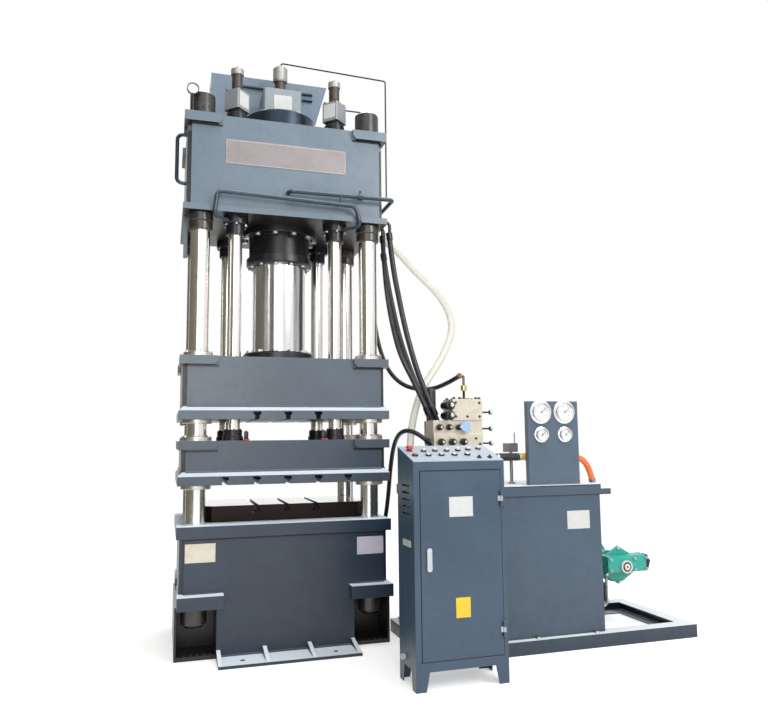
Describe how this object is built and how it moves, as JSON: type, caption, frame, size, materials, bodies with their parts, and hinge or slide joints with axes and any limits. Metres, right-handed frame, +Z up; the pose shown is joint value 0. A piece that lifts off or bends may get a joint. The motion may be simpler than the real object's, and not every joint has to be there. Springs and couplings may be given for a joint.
{
  "type": "four-column hydraulic press",
  "caption": "Column-guided hydraulic press with moving slides between crown and bed, overhead cylinders, hoses to an oil power unit, and a control cabinet.",
  "frame": {"origin": "on the floor under the middle of the press bed", "axes": "+X to the right along the bed towards the power unit, +Y to the back, +Z up along the columns"},
  "size_m": [4.09, 2.4403, 4.9735],
  "materials": {
    "machine_paint": "satin",
    "bed_paint": "satin",
    "cabinet_paint": "satin",
    "console_paint": "satin",
    "frame_paint": "satin",
    "pipe_paint": "satin",
    "pump_paint": "gloss",
    "black_steel": "satin",
    "chromed_steel": "polished",
    "bolster_steel": "machined",
    "bolt_steel": "satin",
    "pipe_steel": "satin",
    "zinc_steel": "satin",
    "red_plastic": "gloss",
    "green_plastic": "gloss",
    "black_plastic": "matte",
    "equipment_plastic": "matte",
    "gauge_white": "satin",
    "black_rubber": "satin",
    "clear_rubber": "translucent",
    "orange_rubber": "satin"
  },
  "bodies": {
    "frame": {"column_front_left": "chromed_steel", "column_front_right": "chromed_steel", "column_rear_left": "chromed_steel", "column_rear_right": "chromed_steel", "bed_frame": "bed_paint", "crown_frame": "machine_paint", "column_nuts": "black_steel", "bolster_plate": "bolster_steel", "main_cylinder_barrel": "black_steel", "main_cylinder_gland": "black_steel", "side_cylinder_barrels": "black_steel", "frame_bolts": "bolt_steel", "prefill_valve": "black_steel", "side_valves": "black_steel", "prefill_tank": "machine_paint", "crown_pipes": "pipe_paint", "cabinet_shell": "cabinet_paint", "console_panel": "console_paint", "cabinet_equipment": "equipment_plastic", "base_frame": "frame_paint", "oil_tank": "cabinet_paint", "tank_lid": "cabinet_paint", "gauge_panel": "cabinet_paint", "pressure_gauges": "gauge_white", "valve_manifold": "zinc_steel", "power_unit_pipes": "pipe_steel", "pump_body": "pump_paint", "motor_frame": "pump_paint", "clear_hose": "clear_rubber", "crown_hose_1": "black_rubber", "crown_hose_2": "black_rubber", "crown_hose_3": "black_rubber", "manifold_top_hose": "black_rubber", "lower_hose": "black_rubber", "return_hose": "orange_rubber"},
    "upper_slide": {"upper_slide": "machine_paint", "upper_slide_bushes": "black_steel", "main_ram": "chromed_steel", "ram_flange": "black_steel", "upper_slide_bolts": "bolt_steel"},
    "second_slide": {"second_slide": "machine_paint", "second_slide_bushes": "black_steel", "side_rods": "chromed_steel", "rod_flanges": "black_steel", "second_slide_bolts": "bolt_steel"},
    "cabinet_door": {"cabinet_door": "cabinet_paint"},
    "door_handle": {"door_handle": "chromed_steel"},
    "motor_rotor": {"motor_rotor": "bolt_steel"},
    "emergency_stop_button": {"emergency_stop_button": "red_plastic"},
    "stop_button": {"stop_button": "red_plastic"},
    "push_button_1": {"push_button_1": "green_plastic"},
    "push_button_2": {"push_button_2": "green_plastic"},
    "push_button_3": {"push_button_3": "green_plastic"},
    "push_button_4": {"push_button_4": "green_plastic"},
    "selector_switch_1": {"selector_switch_1": "black_plastic"},
    "selector_switch_2": {"selector_switch_2": "black_plastic"},
    "gauge_needle_1": {"gauge_needle_1": "red_plastic"},
    "gauge_needle_2": {"gauge_needle_2": "red_plastic"},
    "gauge_needle_3": {"gauge_needle_3": "red_plastic"},
    "gauge_needle_4": {"gauge_needle_4": "red_plastic"}
  },
  "joints": [
    {"name": "upper_slide_travel", "type": "slide", "parent": "frame", "child": "upper_slide", "axis": [0, 0, 1], "range_m": [-0.04, 0.7]},
    {"name": "second_slide_travel", "type": "slide", "parent": "upper_slide", "child": "second_slide", "axis": [0, 0, 1], "range_m": [-0.11, 0.05]},
    {"name": "door_hinge", "type": "hinge", "parent": "frame", "child": "cabinet_door", "pos_m": [1.2575, -1.6603, 0.77], "axis": [0, 0, 1], "range_deg": [0, 110]},
    {"name": "handle_turn", "type": "hinge", "parent": "cabinet_door", "child": "door_handle", "pos_m": [0.737, -1.66, 0.82], "axis": [0, -1, 0], "range_deg": [0, 90]},
    {"name": "rotor_spin", "type": "hinge", "parent": "frame", "child": "motor_rotor", "pos_m": [2.775, 0, 0.5], "axis": [0, 1, 0], "continuous": true},
    {"name": "emergency_stop_button_press", "type": "slide", "parent": "frame", "child": "emergency_stop_button", "axis": [0, 0.2766, -0.961], "range_m": [0, 0.004], "stiffness_N_per_m": 400, "springref_m": -0.002},
    {"name": "stop_button_press", "type": "slide", "parent": "frame", "child": "stop_button", "axis": [0, 0.2766, -0.961], "range_m": [0, 0.005], "stiffness_N_per_m": 400, "springref_m": -0.002},
    {"name": "push_button_1_press", "type": "slide", "parent": "frame", "child": "push_button_1", "axis": [0, 0.2766, -0.961], "range_m": [0, 0.005], "stiffness_N_per_m": 400, "springref_m": -0.002},
    {"name": "push_button_2_press", "type": "slide", "parent": "frame", "child": "push_button_2", "axis": [0, 0.2766, -0.961], "range_m": [0, 0.005], "stiffness_N_per_m": 400, "springref_m": -0.002},
    {"name": "push_button_3_press", "type": "slide", "parent": "frame", "child": "push_button_3", "axis": [0, 0.2766, -0.961], "range_m": [0, 0.005], "stiffness_N_per_m": 400, "springref_m": -0.002},
    {"name": "push_button_4_press", "type": "slide", "parent": "frame", "child": "push_button_4", "axis": [0, 0.2766, -0.961], "range_m": [0, 0.005], "stiffness_N_per_m": 400, "springref_m": -0.002},
    {"name": "selector_switch_1_turn", "type": "hinge", "parent": "frame", "child": "selector_switch_1", "pos_m": [1.13029, -1.60045, 1.46947], "axis": [0, -0.2766, 0.961], "range_deg": [-45, 45]},
    {"name": "selector_switch_2_turn", "type": "hinge", "parent": "frame", "child": "selector_switch_2", "pos_m": [1.208, -1.60045, 1.46947], "axis": [0, -0.2766, 0.961], "range_deg": [-45, 45]},
    {"name": "gauge_needle_1_swing", "type": "hinge", "parent": "frame", "child": "gauge_needle_1", "pos_m": [1.945, -1.026, 1.805], "axis": [0, -1, 0], "range_deg": [-85, 185]},
    {"name": "gauge_needle_2_swing", "type": "hinge", "parent": "frame", "child": "gauge_needle_2", "pos_m": [2.155, -1.026, 1.805], "axis": [0, -1, 0], "range_deg": [-85, 185]},
    {"name": "gauge_needle_3_swing", "type": "hinge", "parent": "frame", "child": "gauge_needle_3", "pos_m": [1.945, -1.026, 1.625], "axis": [0, -1, 0], "range_deg": [-85, 185]},
    {"name": "gauge_needle_4_swing", "type": "hinge", "parent": "frame", "child": "gauge_needle_4", "pos_m": [2.155, -1.026, 1.625], "axis": [0, -1, 0], "range_deg": [-85, 185]}
  ]
}
